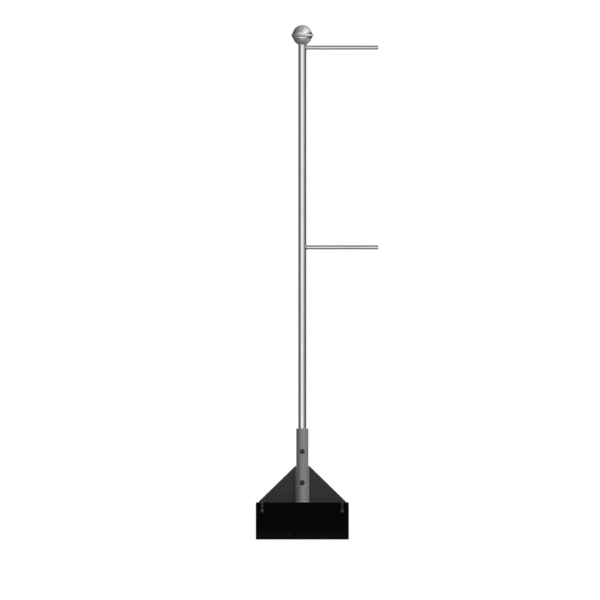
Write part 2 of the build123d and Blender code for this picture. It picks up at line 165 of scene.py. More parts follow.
class DetailSettings(bpy.types.PropertyGroup):
    """Sizes of the weld beads, the screw threads and the bolt heads."""

    gusset_weld: length_setting("Gusset weld", "Leg of the beads along the gussets", 0.005)
    gusset_corner: length_setting("Gusset corner", "Where the gussets' beads start past the sleeve", 0.0045)
    ripple_pitch: length_setting("Ripple pitch", "Length of one ripple of a bead", 0.0022)
    ripple_height: length_setting("Ripple height", "How far a ripple stands up", 0.00035)
    bead_bulge: share_setting("Bead bulge", "How far a bead stands out, as a share of its depth", 0.22)
    thread_pitch: length_setting("Thread pitch", "Rise of the screw thread in one turn", 0.002)
    thread_depth: length_setting("Thread depth", "Depth of the screw thread", 0.0011)
    shank_diameter: length_setting("Shank", "Outer diameter of the bolts", 0.016)
    shank_tip: length_setting("Shank tip", "Chamfer on the shank's end", 0.0015)
    plain_shank: length_setting("Plain shank", "Unthreaded length of the fixing bolts", 0.05)
    edge_break: length_setting("Edge break", "Small bevel on the bolt heads' edges", 0.0004)
    button_flange: length_setting("Button flange", "Thickness of the button head's flange", 0.0025)
    button_dome: length_setting("Button dome", "Diameter of the button head's dome", 0.027)
    button_crown: length_setting("Button crown", "Diameter of the flat on the dome", 0.013)
    socket_width: length_setting("Socket", "Width across the flats of the socket", 0.01)
    socket_depth: length_setting("Socket depth", "Depth of the socket", 0.005)


class StageSettings(bpy.types.PropertyGroup):
    """The floor, the light tent, the lamps and the camera."""

    view_height: length_setting("View height", "Height of the square that the camera shows", 3.772)
    view_centre: bpy.props.FloatVectorProperty(
        name="View centre", description="Point in the middle of the picture", subtype="XYZ", size=3,
        default=(-0.0145, 0, 1.506),
    )
    camera_distance: length_setting("Camera distance", "From the pole to the camera", 8)
    floor_radius: length_setting("Floor radius", "Radius of the round floor", 4)
    floor_fade: length_setting("Floor fade", "Where the floor has faded to white", 3.2)
    tent_radius: length_setting("Tent radius", "Radius of the light tent that the metal reflects", 30)
    front_glow: number_setting("Front glow", "Strength of the tent's glow in front", 1.95)
    front_spread: angle_setting("Front spread", "Angle in which the front glow falls to a third", 32.5)
    back_glow: number_setting("Back glow", "Strength of the tent's glow behind the pole", 0.9)
    back_spread: angle_setting("Back spread", "Angle in which the back glow falls to a third", 15)
    panel_glow: number_setting("Panel glow", "Strength of the bright panel at the upper right", 3.1)
    panel_spread: angle_setting("Panel spread", "Angular radius of the bright panel", 18)
    canopy_glow: number_setting("Canopy glow", "Strength of the broad panel overhead", 1.85)
    canopy_spread: angle_setting("Canopy spread", "Angular radius of the panel overhead", 24)
    key_power: power_setting("Key lamp", "Power of the lamp at the upper right", 2150)
    fill_power: power_setting("Fill lamp", "Power of the low lamp at the left", 14)
    back_power: power_setting("Back lamp", "Power of the lamp behind the pole", 420)
    ambient: number_setting("Ambient", "Strength of the even light from all sides", 0.2)


# Node helpers

def feed(tree, socket, value):
    """Link a socket to the socket that feeds it, or set it to a value."""
    if isinstance(value, bpy.types.NodeSocket):
        tree.links.new(value, socket)
    else:
        socket.default_value = value


def add_node(tree, kind, inputs=None, **properties):
    """Add a node. inputs maps a socket's name or number to a value or to the socket that feeds it."""
    made = tree.nodes.new(kind)
    for key, value in properties.items():
        setattr(made, key, value)
    for key, value in (inputs or {}).items():
        feed(tree, made.inputs[key], value)
    return made


def maths(tree, operation, *values):
    """Result of a Math node."""
    return add_node(tree, "ShaderNodeMath", dict(enumerate(values)), operation=operation).outputs[0]


def vector_maths(tree, operation, *values):
    """Result of a Vector Math node: a number for a length and a dot product, else a vector."""
    made = add_node(tree, "ShaderNodeVectorMath", dict(enumerate(values)), operation=operation)
    return made.outputs["Value" if operation in ("LENGTH", "DOT_PRODUCT") else "Vector"]


def ramp(tree, value, low, high, to_low=0.0, to_high=1.0):
    """Result of a clamped Map Range node."""
    inputs = {"Value": value, "From Min": low, "From Max": high, "To Min": to_low, "To Max": to_high}
    return add_node(tree, "ShaderNodeMapRange", inputs).outputs["Result"]


def spread(tree, share, low, high):
    """A share from 0 to 1, spread out from low to high."""
    return ramp(tree, share, 0.0, 1.0, low, high)


def noise(tree, vector, scale, detail, roughness):
    """Factor of a Noise Texture node."""
    inputs = {"Vector": vector, "Scale": scale, "Detail": detail, "Roughness": roughness}
    return add_node(tree, "ShaderNodeTexNoise", inputs).outputs["Fac"]


def blend_colours(tree, factor, first, second):
    """Colour of a Mix node, whose colour sockets are numbered because their names aren't unique."""
    return add_node(tree, "ShaderNodeMix", {0: factor, 6: first, 7: second}, data_type="RGBA").outputs[2]


def lay_over(tree, under, colour, mask, strength):
    """A colour over another one, where a mask puts it, and as dense as a strength from 0 to 1."""
    return blend_colours(tree, maths(tree, "MULTIPLY", mask, strength), under, colour)


def opaque(colour, shade=1.0):
    """A colour for a colour socket, made darker or lighter by a shade."""
    return (*(shade * channel for channel in colour), 1.0)


def height_of(tree, place):
    """Height above the ground of Object coordinates."""
    return add_node(tree, "ShaderNodeSeparateXYZ", {"Vector": place}).outputs["Z"]


SOCKET_KINDS = {
    "vector": "NodeSocketVector",
    "number": "NodeSocketFloat",
    "colour": "NodeSocketColor",
}


def new_group(name, inputs, outputs):
    """A shader node group whose first input is the vector: (group, its given sockets, its result sockets)."""
    group = bpy.data.node_groups.new(name, "ShaderNodeTree")
    for label, kind, default in [("Vector", "vector", (0, 0, 0)), *inputs]:
        socket = group.interface.new_socket(label, in_out="INPUT", socket_type=SOCKET_KINDS[kind])
        socket.default_value = default
    for label, kind in outputs:
        group.interface.new_socket(label, in_out="OUTPUT", socket_type=SOCKET_KINDS[kind])
    return group, group.nodes.new("NodeGroupInput").outputs, group.nodes.new("NodeGroupOutput").inputs


# Shared effects

NOISE_RANGE = (0.3, 0.7)  # most of a noise lies between these values


def make_drawn_grain():
    """Lines drawn along a surface: noise on coordinates that are stretched along one axis."""
    group, given, result = new_group(
        "Drawn Grain",
        [("Lines per Metre", "vector", (800, 800, 4))],
        [("Height", "number"), ("Streak", "number")],
    )
    stretched = vector_maths(group, "MULTIPLY", given["Vector"], given["Lines per Metre"])
    broad = noise(group, stretched, 0.07, detail=2.0, roughness=0.5)
    feed(group, result["Height"], noise(group, stretched, 1.0, detail=4.0, roughness=0.6))
    feed(group, result["Streak"], ramp(group, broad, *NOISE_RANGE))
    return group


def make_soft_mottle():
    """Broad drift between two colours: noise with its contrast raised."""
    group, given, result = new_group(
        "Soft Mottle",
        [("Scale", "number", 8.0), ("Light", "colour", (1, 1, 1, 1)), ("Dark", "colour", (0, 0, 0, 1))],
        [("Colour", "colour"), ("Value", "number")],
    )
    drift = noise(group, given["Vector"], given["Scale"], detail=5.0, roughness=0.6)
    value = ramp(group, drift, *NOISE_RANGE)
    feed(group, result["Colour"], blend_colours(group, value, given["Dark"], given["Light"]))
    feed(group, result["Value"], value)
    return group


def make_spun_rings():
    """Rings left by spinning: noise on the angle between the upright axis and the line from the centre."""
    group, given, result = new_group(
        "Spun Rings",
        [("Centre Height", "number", 0.0), ("Rings per Radian", "number", 240.0)],
        [("Height", "number"), ("Streak", "number")],
    )
    across = vector_maths(group, "LENGTH", vector_maths(group, "MULTIPLY", given["Vector"], (1, 1, 0)))
    above = maths(group, "SUBTRACT", height_of(group, given["Vector"]), given["Centre Height"])
    ring_place = maths(group, "MULTIPLY", maths(group, "ARCTAN2", across, above), given["Rings per Radian"])

    def ring_noise(scale, detail):
        inputs = {"W": ring_place, "Scale": scale, "Detail": detail}
        return add_node(group, "ShaderNodeTexNoise", inputs, noise_dimensions="1D").outputs["Fac"]

    feed(group, result["Height"], ring_noise(1.0, detail=3.0))
    feed(group, result["Streak"], ramp(group, ring_noise(0.12, detail=2.0), *NOISE_RANGE))
    return group


def make_cast_skin():
    """Cast surface: round pores in some cells of a Voronoi pattern, over fine sand grain."""
    group, given, result = new_group(
        "Cast Skin",
        [("Cells per Metre", "number", 55.0), ("Grain per Metre", "number", 420.0)],
        [("Height", "number"), ("Grain", "number")],
    )
    inputs = {"Vector": given["Vector"], "Scale": given["Cells per Metre"], "Randomness": 1.0}
    cells = add_node(group, "ShaderNodeTexVoronoi", inputs).outputs
    draw = add_node(group, "ShaderNodeSeparateColor", {"Color": cells["Color"]}).outputs["Red"]
    pore_radius = ramp(group, draw, low=0.72, high=1.0, to_high=0.16)
    pores = ramp(group, maths(group, "SUBTRACT", pore_radius, cells["Distance"]), low=0.0, high=0.05)
    grain = noise(group, given["Vector"], given["Grain per Metre"], detail=4.0, roughness=0.65)
    sand = maths(group, "MULTIPLY", grain, 0.25)
    feed(group, result["Height"], maths(group, "SUBTRACT", sand, pores))
    feed(group, result["Grain"], grain)
    return group


def make_rubbed_edges():
    """Wear on a box's edges: the second smallest distance from its faces, broken up by noise."""
    group, given, result = new_group(
        "Rubbed Edges",
        [
            ("Centre", "vector", (0, 0, 0)),
            ("Half Size", "vector", (1, 1, 1)),
            ("Width", "number", 0.01),
            ("Break-up per Metre", "number", 50.0),
        ],
        [("Mask", "number")],
    )
    away = vector_maths(group, "ABSOLUTE", vector_maths(group, "SUBTRACT", given["Vector"], given["Centre"]))
    inside = vector_maths(group, "SUBTRACT", given["Half Size"], away)
    x, y, z = add_node(group, "ShaderNodeSeparateXYZ", {"Vector": inside}).outputs
    nearer = maths(group, "MINIMUM", x, y)
    farther = maths(group, "MAXIMUM", x, y)
    second = maths(group, "MAXIMUM", nearer, maths(group, "MINIMUM", farther, z))
    broken = noise(group, given["Vector"], given["Break-up per Metre"], detail=5.0, roughness=0.7)
    patchy = ramp(group, broken, low=0.4, high=0.75, to_low=0.05)
    reach = maths(group, "MULTIPLY", given["Width"], patchy)
    feed(group, result["Mask"], ramp(group, second, low=reach, high=0.0))
    return group


def make_settled_dust():
    """Dust that thins with the height above a level, and is missing where the noise is low."""
    group, given, result = new_group(
        "Settled Dust",
        [("Level", "number", 0.0), ("Reach", "number", 0.1)],
        [("Mask", "number")],
    )
    above = maths(group, "SUBTRACT", height_of(group, given["Vector"]), given["Level"])
    near = ramp(group, above, low=0.0, high=given["Reach"], to_low=1.0, to_high=0.0)
    patches = noise(group, given["Vector"], 35.0, detail=5.0, roughness=0.65)
    feed(group, result["Mask"], maths(group, "MULTIPLY", near, ramp(group, patches, low=0.35, high=0.7)))
    return group


EFFECT_MAKERS = {
    "grain": make_drawn_grain,
    "mottle": make_soft_mottle,
    "rings": make_spun_rings,
    "cast": make_cast_skin,
    "edges": make_rubbed_edges,
    "dust": make_settled_dust,
}
effects = {}


def place_effect(tree, name, place, inputs):
    """Outputs of a shared effect, placed in a material's tree. Its group is built the first time."""
    if name not in effects:
        effects[name] = EFFECT_MAKERS[name]()
    return add_node(tree, "ShaderNodeGroup", {"Vector": place, **inputs}, node_tree=effects[name]).outputs


def mottled(tree, place, colour, scale, light, dark):
    """Outputs of the mottle effect round one colour, between a lighter and a darker shade of it."""
    inputs = {"Scale": scale, "Light": opaque(colour, light), "Dark": opaque(colour, dark)}
    return place_effect(tree, "mottle", place, inputs)


def rubbed_edges(tree, place, low, high, width):
    """Mask of the wear along the edges of the box between two corners."""
    inputs = {"Centre": tuple((low + high) / 2), "Half Size": tuple((high - low) / 2), "Width": width}
    return place_effect(tree, "edges", place, inputs)["Mask"]


def settled_dust(tree, place, level, reach):
    """Mask of the dust above a level."""
    return place_effect(tree, "dust", place, {"Level": level, "Reach": reach})["Mask"]


def plated_grain(tree, place):
    """Height of the fine grain of plated steel."""
    return noise(tree, place, 900.0, detail=3.0, roughness=0.6)


# Materials

def start_material(name, constants):
    """A material with a Principled shader: (material, its tree, the shader, Object coordinates)."""
    made = bpy.data.materials.new(name)
    made.use_nodes = True
    tree = made.node_tree
    tree.nodes.clear()
    shader = add_node(tree, "ShaderNodeBsdfPrincipled", constants)
    add_node(tree, "ShaderNodeOutputMaterial", {"Surface": shader.outputs["BSDF"]})
    place = add_node(tree, "ShaderNodeTexCoord").outputs["Object"]
    return made, tree, shader, place


def finish_shader(tree, shader, colour, roughness, height, depth):
    """Feed a shader its colour, its roughness and a height, which is raised by a depth in metres."""
    bump = add_node(tree, "ShaderNodeBump", {"Height": height, "Distance": depth})
    feed(tree, shader.inputs["Base Color"], colour)
    feed(tree, shader.inputs["Roughness"], roughness)
    feed(tree, shader.inputs["Normal"], bump.outputs["Normal"])


def drawn_metal(name, colour, roughness, lines_per_metre):
    """Satin metal with polishing lines along it, and slow drift in tone and polish."""
    made, tree, shader, place = start_material(name, {"Metallic": 1.0})
    grain = place_effect(tree, "grain", place, {"Lines per Metre": lines_per_metre})
    tone = mottled(tree, place, colour, scale=5.0, light=1.0, dark=0.9)
    polish = spread(tree, grain["Streak"], roughness - 0.04, roughness + 0.05)
    finish_shader(tree, shader, tone["Colour"], polish, height=grain["Height"], depth=0.00002)
    return made


# Painted shade: the crevice shade is left off where the ball faces this way or the opposite way, and laid on
# the flanks.
UNSHADED_FACING = (-0.2, -0.98, 0)


def unshaded_share(tree, place):
    """Share of the ball kept free of the painted crevice shade: 1 where it faces the front or the back, and 0
    on the flanks.
    """
    outward = vector_maths(tree, "NORMALIZE", vector_maths(tree, "MULTIPLY", place, (1, 1, 0)))
    towards = vector_maths(tree, "DOT_PRODUCT", outward, UNSHADED_FACING)
    return ramp(tree, maths(tree, "ABSOLUTE", towards), low=0.4, high=0.8)


def spun_metal(name, colour, bare_metal, roughness, look):
    """Metal of the ball with rings from spinning, and painted shade in the crevices beside the rims, laid on
    the flanks that face neither front nor back.
    """
    made, tree, shader, place = start_material(name, {"Metallic": bare_metal})
    sizes = {"Centre Height": ball_middle, "Rings per Radian": look.ball_rings}
    rings = place_effect(tree, "rings", place, sizes)
    tone = mottled(tree, place, colour, scale=14.0, light=1.0, dark=0.9)
    from_middle = maths(tree, "ABSOLUTE", maths(tree, "SUBTRACT", height_of(tree, place), ball_middle))
    from_rim = maths(tree, "ABSOLUTE", maths(tree, "SUBTRACT", from_middle, look.rim_level))
    rim_edge = look.rim_height / 2
    # Painted shade: a dark colour laid next to the rims, strongest on the ball's flanks, standing in for the
    # shade in the crevices.
    corner = ramp(tree, from_rim, rim_edge, rim_edge + look.crevice_shade_width, to_low=1.0, to_high=0.0)
    shade_share = spread(tree, unshaded_share(tree, place), low=0.95, high=0.0)
    shade_colour = opaque(look.crevice_shade_colour)
    shaded = blend_colours(tree, maths(tree, "MULTIPLY", corner, shade_share), tone["Colour"], shade_colour)
    polish = spread(tree, rings["Streak"], roughness - 0.05, roughness + 0.05)
    finish_shader(tree, shader, shaded, polish, height=rings["Height"], depth=0.000012)
    return made


def arm_weld_metal(look):
    """Bare weld beads with patches of a faint straw tint."""
    made, tree, shader, place = start_material("arm_weld_metal", {"Metallic": 1.0})
    patches = noise(tree, place, 70.0, detail=3.0, roughness=0.5)
    tint_share = ramp(tree, patches, low=0.4, high=0.65)
    tinted = blend_colours(tree, tint_share, opaque(look.weld_colour), opaque(look.weld_tint))
    polish = ramp(tree, patches, *NOISE_RANGE, to_low=0.3, to_high=0.44)
    grain = noise(tree, place, 1200.0, detail=2.0, roughness=0.5)
    finish_shader(tree, shader, tinted, polish, height=grain, depth=0.00004)
    return made


def sleeve_steel(look):
    """Dull grey steel with faint upright streaks, and a lighter foot that is partly dust and partly painted
    light against the shade of the plate and the gussets.
    """
    made, tree, shader, place = start_material("sleeve_steel", {"Metallic": 0.38, "Specular IOR Level": 0.4})
    grain = place_effect(tree, "grain", place, {"Lines per Metre": (420, 420, 6)})
    tone = mottled(tree, place, look.sleeve_colour, scale=18.0, light=1.08, dark=0.88)
    streak_colour = opaque(look.sleeve_colour, shade=0.78)
    streaked = lay_over(tree, tone["Colour"], streak_colour, grain["Streak"], strength=0.35)
    # Dust and painted light: a lighter colour near the foot, which also brightens the part of the sleeve that
    # the plate and gussets shade.
    dust = settled_dust(tree, place, block_top, look.sleeve_dust_and_light_reach)
    dusty = lay_over(tree, streaked, opaque(look.sleeve_colour, shade=1.5), dust, strength=0.6)
    polish = spread(tree, tone["Value"], low=0.46, high=0.6)
    finish_shader(tree, shader, dusty, polish, height=grain["Height"], depth=0.00006)
    return made


def charcoal_paint(look):
    """Satin charcoal paint with orange peel, rubbed along the plate's edges."""
    made, tree, shader, place = start_material("charcoal_paint", {"Specular IOR Level": 0.2})
    tone = mottled(tree, place, look.paint_colour, scale=22.0, light=1.12, dark=0.88)
    wear = rubbed_edges(tree, place, plate_low, plate_high, look.paint_rub_width)
    rubbed = blend_colours(tree, wear, tone["Colour"], opaque(look.paint_rub_colour))
    polish = spread(tree, tone["Value"], low=0.46, high=0.58)
    orange_peel = noise(tree, place, 450.0, detail=2.0, roughness=0.5)
    finish_shader(tree, shader, rubbed, polish, height=orange_peel, depth=0.00012)
    return made


def block_concrete(look):
    """Black painted cast concrete with pores, rubbed edges and a faint dusty foot."""
    made, tree, shader, place = start_material("block_concrete", {"Specular IOR Level": 0.02})
    skin = place_effect(tree, "cast", place, {"Cells per Metre": look.pores})
    tone = mottled(tree, place, look.block_colour, scale=9.0, light=1.5, dark=0.8)
    wear = rubbed_edges(tree, place, block_low, block_high, look.block_rub_width)
    rub_colour = opaque(look.block_rub_colour)
    rubbed = lay_over(tree, tone["Colour"], rub_colour, wear, strength=0.6)
    dust = settled_dust(tree, place, block_low.z, reach=0.07)
    dusty = lay_over(tree, rubbed, rub_colour, dust, strength=0.35)
    polish = ramp(tree, skin["Grain"], *NOISE_RANGE, to_low=0.62, to_high=0.8)
    finish_shader(tree, shader, dusty, polish, height=skin["Height"], depth=look.pore_depth)
    return made


def dark_steel(name, colour, roughness):
    """Dark plated steel, a little brighter and smoother in patches."""
    made, tree, shader, place = start_material(name, {"Metallic": 0.85})
    tone = mottled(tree, place, colour, scale=160.0, light=1.3, dark=0.8)
    polish = spread(tree, tone["Value"], roughness + 0.06, roughness - 0.06)
    finish_shader(tree, shader, tone["Colour"], polish, height=plated_grain(tree, place), depth=0.00005)
    return made


def hold_down_steel(look):
    """Zinc that is painted over, with the plate, where it stands above the plate. That paint is a darker copy
    of the plate's, a painted shade that dims the lit tops of the heads and washers.
    """
    made, tree, shader, place = start_material("hold_down_steel", {})
    zinc = mottled(tree, place, look.zinc_colour, scale=160.0, light=1.1, dark=0.85)
    # Painted shade: this paint is darker than the plate's, so that the bolt heads and washers, lit from
    # above, read as dark as the gussets.
    paint = mottled(tree, place, look.paint_colour, scale=60.0, light=0.95, dark=0.7)
    softness = 0.0005
    above = maths(tree, "SUBTRACT", height_of(tree, place), block_top)
    bare = ramp(tree, above, low=-softness, high=softness, to_low=1.0, to_high=0.0)
    colour = blend_colours(tree, bare, paint["Colour"], zinc["Colour"])
    polish = spread(tree, zinc["Value"], low=0.9, high=0.78)
    feed(tree, shader.inputs["Metallic"], bare)
    finish_shader(tree, shader, colour, polish, height=plated_grain(tree, place), depth=0.00005)
    return made


def dress(material, *node_names):
    """Give CAD nodes a material in each of their slots."""
    for node_name in node_names:
        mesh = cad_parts[node_name].data
        for index in range(len(mesh.materials)):
            mesh.materials[index] = material


# Surfaces

SHARP_ANGLE = 35  # degrees, past which an edge stays crisp
BEAD_SHARP_ANGLE = 50


def join_rings(rings, closed_path=False):
    """A surface through rings of points: (points, quads, end faces).

    rings has the shape (rings, points, 3). A quad joins each two neighbours of a ring to the same two of
    the next ring. An open path is closed by one flat face at each end.
    """
    count, around = rings.shape[:2]
    index = np.arange(count * around).reshape(count, around)
    here = index if closed_path else index[:-1]
    following = np.roll(index, -1, axis=0)[:len(here)]
    quads = np.stack([here, np.roll(here, -1, axis=1), np.roll(following, -1, axis=1), following], axis=-1)
    ends = index[:0] if closed_path else index[[0, -1]]
    return rings.reshape(-1, 3), quads.reshape(-1, 4), ends


def fill_mesh(name, surfaces):
    """A mesh of several surfaces, with its normals turned outwards."""
    points = np.concatenate([surface[0] for surface in surfaces])
    starts = np.cumsum([0] + [len(surface[0]) for surface in surfaces])
    faces = []
    for start, (_, quads, ends) in zip(starts, surfaces):
        faces += (quads + start).tolist() + (ends + start).tolist()
    mesh = bpy.data.meshes.new(name)
    mesh.from_pydata(points.tolist(), [], faces)
    shape = bmesh.new()
    shape.from_mesh(mesh)
    bmesh.ops.recalc_face_normals(shape, faces=shape.faces)
    shape.to_mesh(mesh)
    shape.free()
    return mesh


def add_piece(name, surfaces, material, replaced=None, sharp_angle=SHARP_ANGLE):
    """One piece that rides on the pole, and may stand for a CAD node."""
    mesh = fill_mesh(name, surfaces)
    mesh.shade_smooth()
    mesh.set_sharp_from_angle(angle=radians(sharp_angle))
    mesh.materials.append(material)
    piece = bpy.data.objects.new(name, mesh)
    bpy.context.scene.collection.objects.link(piece)
    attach(piece, POLE_BODY)
    if replaced:
        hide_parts(replaced)


def full_turn(count):
    """Equal steps of the angle round a circle, less the last, which would meet the first."""
    return np.arange(count) * 2 * pi / count


def level_circle(count):
    """Points of a level circle with a radius of 1: the cosine and the sine of the angle."""
    angle = full_turn(count)
    return np.stack([np.cos(angle), np.sin(angle), 0 * angle], axis=1)


# Weld beads

RIPPLE_STEPS = 6  # points of the path in one ripple
RIPPLE_BEND = 0.55  # how far a ripple's middle is ahead of its ends, in ripples
BEAD_ACROSS = 9  # points across a bead's face
BEAD_CORNERS = [(side, face) for side in SIDES.values() for face in FACES.values()]


def ripple_count(length, detail):
    """How many whole ripples fit a bead's length, and at least one."""
    return max(round(length / detail.ripple_pitch), 1)


def bead_steps(length, detail):
    """How many points a bead's path needs for its ripples."""
    return ripple_count(length, detail) * RIPPLE_STEPS


def straight_path(start, end, detail):
    """Even steps from the start to the end of a straight bead."""
    return np.linspace(start, end, bead_steps(end - start, detail))


def weld_bead(root, first_toe, second_toe, detail, closed_path=False):
    """A rippled fillet bead along a path.

    root, first_toe and second_toe are (points, 3) arrays: the corner that the bead fills and its two toes.
    The bead's face is the chord from toe to toe, lifted by a parabola, and by ripples that are half sine
    waves of the distance along the path. The parabola also bends the ripples' fronts into crescents.
    """
    across = np.linspace(0, 1, BEAD_ACROSS)[None, :, None]
    chord = first_toe[:, None] * (1 - across) + second_toe[:, None] * across
    middle = (first_toe + second_toe) / 2
    depth = np.linalg.norm(middle - root, axis=1)[:, None, None]
    outward = (middle - root)[:, None] / depth
    steps = np.linalg.norm(np.roll(middle, -1, axis=0) - middle, axis=1)
    travelled = (np.cumsum(steps) - steps)[:, None, None]
    length = steps.sum() if closed_path else steps[:-1].sum()
    parabola = 4 * across * (1 - across)
    phase = travelled / length * ripple_count(length, detail) - RIPPLE_BEND * parabola
    lift = detail.bead_bulge * depth + detail.ripple_height * np.abs(np.sin(pi * phase))
    face = chord + outward * parabola * lift
    return join_rings(np.concatenate([face, root[:, None]], axis=1), closed_path)


# Bolts

AROUND = 48  # points in a ring
THREAD_RINGS = 8  # rings in one pitch of a thread
GROOVE_SLOPE = 2.5  # slope and offset of the triangle wave that a thread's groove is clipped from
GROOVE_OFFSET = 0.25
CROWN_SHARE = 0.48  # radius of a hexagon head's flat crown, as a share of the width across its flats
CROWN_SLOPE = radians(30)
CENTRE_SHARE = 0.3  # radius of the face that closes a hexagon head, as a share of the crown's
DOME_STEPS = 9
turn = full_turn(AROUND)


def turned_surface(origin, axis, across, stretches):
    """A surface turned about an axis from stretches of (radii, heights) rings, one after another.

    The radius and the height may both change with the turn, so that a hexagon or a helix is turned the
    same way.
    """
    radii, heights = (np.concatenate(values)[..., None] for values in zip(*stretches))
    axis = np.array(axis, float)
    across = np.array(across, float)
    spoke = np.cos(turn)[:, None] * across + np.sin(turn)[:, None] * np.cross(axis, across)
    return join_rings(np.array(origin) + radii * spoke + heights * axis)


def ring(radius, height):
    """One ring, from a radius and a height that are numbers or arrays over the turn."""
    return (radius + 0 * turn)[None], (height + 0 * turn)[None]


def hexagon(across_flats):
    """Distance from a hexagon's centre to its sides over the turn: the flat's distance over the cosine."""
    from_flat = turn % (pi / 3) - pi / 6
    return across_flats / 2 / np.cos(from_flat)


def threaded_shank(start, end, detail):
    """Rings of a right-handed thread between two heights.

    The radius is the shank's less a clipped triangle wave of the height in pitches minus the turn. The
    groove grows from nothing over the first pitch, and the tip's chamfer cuts the end.
    """
    radius = detail.shank_diameter / 2
    pitch = detail.thread_pitch
    length = abs(end - start)
    way = np.sign(end - start)
    along = np.linspace(0, length, int(length / pitch * THREAD_RINGS) + 1)[:, None]
    phase = (along / pitch - way * turn / (2 * pi)) % 1
    groove = np.clip(GROOVE_SLOPE * np.abs(phase - 0.5) - GROOVE_OFFSET, 0, 1)
    grown = np.clip(along / pitch, 0, 1)
    cut = radius - detail.shank_tip + np.minimum(length - along, detail.shank_tip)
    radii = np.minimum(radius - detail.thread_depth * groove * grown, cut)
    return radii, start + way * along + 0 * turn


def hexagon_bolt(seat, head_height, across_flats, tail, detail):
    """Upright bolt: a hexagon head whose corners are turned off, and a shank threaded to the tail."""
    side = hexagon(across_flats)
    crown = CROWN_SHARE * across_flats
    taken = (side - crown) * np.tan(CROWN_SLOPE)
    shank = detail.shank_diameter / 2
    neck = -2 * detail.thread_pitch
    stretches = [
        ring(CENTRE_SHARE * crown, head_height),
        ring(crown, head_height),
        ring(side, head_height - taken),
        ring(side, detail.edge_break + taken / 2),
        ring(crown, detail.edge_break),
        ring(crown, 0),
        ring(shank, 0),
        ring(shank, neck),
        threaded_shank(neck, tail, detail),
    ]
    return turned_surface(seat, (0, 0, 1), (1, 0, 0), stretches)


def button_bolt(seat, head_height, flange_radius, tail, detail):
    """Level bolt whose head looks to the front: a flange, a dome with a socket and a part-threaded shank.

    The dome is a quarter of an ellipse from the flange to the flat crown, and the socket is a hexagon.
    """
    sweep = np.linspace(pi / 2, 0, DOME_STEPS)[:, None]
    crown = detail.button_crown / 2
    dome_radii = crown + (detail.button_dome / 2 - crown) * np.cos(sweep) + 0 * turn
    dome_heights = detail.button_flange + (head_height - detail.button_flange) * np.sin(sweep) + 0 * turn
    socket = hexagon(detail.socket_width)
    floor = head_height - detail.socket_depth
    edge = detail.edge_break
    shank = detail.shank_diameter / 2
    drill_radius = 0.1 * detail.socket_width
    drill_depth = 3 * edge
    stretches = [
        ring(drill_radius, floor - drill_depth),
        ring(socket, floor),
        ring(socket, head_height - edge),
        ring(socket + edge, head_height),
        (dome_radii, dome_heights),
        ring(flange_radius - edge, detail.button_flange),
        ring(flange_radius, detail.button_flange - edge),
        ring(flange_radius, edge),
        ring(flange_radius - edge, 0),
        ring(shank, 0),
        ring(shank, -detail.plain_shank),
        threaded_shank(-detail.plain_shank, tail, detail),
    ]
    return turned_surface(seat, (0, -1, 0), (1, 0, 0), stretches)


# Pieces

class FLAGPOLE_OT_block(bpy.types.Operator):
    """Finish the block as black painted concrete"""

    bl_idname = "flagpole.block"
    bl_label = "Block"

    def execute(self, context):
        dress(block_concrete(context.scene.flagpole_base), "base_block")
        return {"FINISHED"}


class FLAGPOLE_OT_base_steel(bpy.types.Operator):
    """Paint the plate and the gussets, and lay rippled beads where the gussets stand on the plate"""

    bl_idname = "flagpole.base_steel"
    bl_label = "Base Steel"

    def execute(self, context):
        detail = context.scene.flagpole_detail
        paint = charcoal_paint(context.scene.flagpole_base)
        dress(paint, "base_plate", "left_gusset", "right_gusset")
        beads = [self.level_bead(side, face, detail) for side, face in BEAD_CORNERS]
        add_piece("gusset_foot_beads", beads, paint, "base_weld", BEAD_SHARP_ANGLE)
        return {"FINISHED"}

    def level_bead(self, side, face, detail):
        """A straight bead between a gusset's face and the plate."""
        leg = detail.gusset_weld
        x = straight_path(sleeve_radius + detail.gusset_corner, gusset_high.x, detail)
        root = np.stack([side * x, 0 * x + face * gusset_high.y, 0 * x + block_top], axis=1)
        return weld_bead(root, root + (0, face * leg, 0), root + (0, 0, leg), detail)


class FLAGPOLE_OT_hold_down_bolts(bpy.types.Operator):
    """Cut threads on the four hold-down bolts and finish them with their washers and barrel nuts"""

    bl_idname = "flagpole.hold_down_bolts"
    bl_label = "Hold-down Bolts"

    def execute(self, context):
        look = context.scene.flagpole_base
        bolt_steel = hold_down_steel(look)
        barrel_steel = dark_steel("barrel_steel", look.barrel_colour, roughness=0.42)
        for corner in [f"{face}_{side}" for face in FACES for side in SIDES]:
            dress(bolt_steel, f"hold_down_washer_{corner}")
            dress(barrel_steel, f"barrel_nut_{corner}")
            node_name = f"hold_down_bolt_{corner}"
            surface = self.bolt(corner, context.scene.flagpole_detail)
            add_piece(f"threaded_{node_name}", [surface], bolt_steel, node_name)
        return {"FINISHED"}

    def bolt(self, corner, detail):
        """The bolt of one corner, its head seated on the washer."""
        low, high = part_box(f"hold_down_bolt_{corner}")
        seat_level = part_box(f"hold_down_washer_{corner}")[1].z
        seat = ((low.x + high.x) / 2, (low.y + high.y) / 2, seat_level)
        return hexagon_bolt(seat, high.z - seat_level, high.y - low.y, low.z - seat_level, detail)


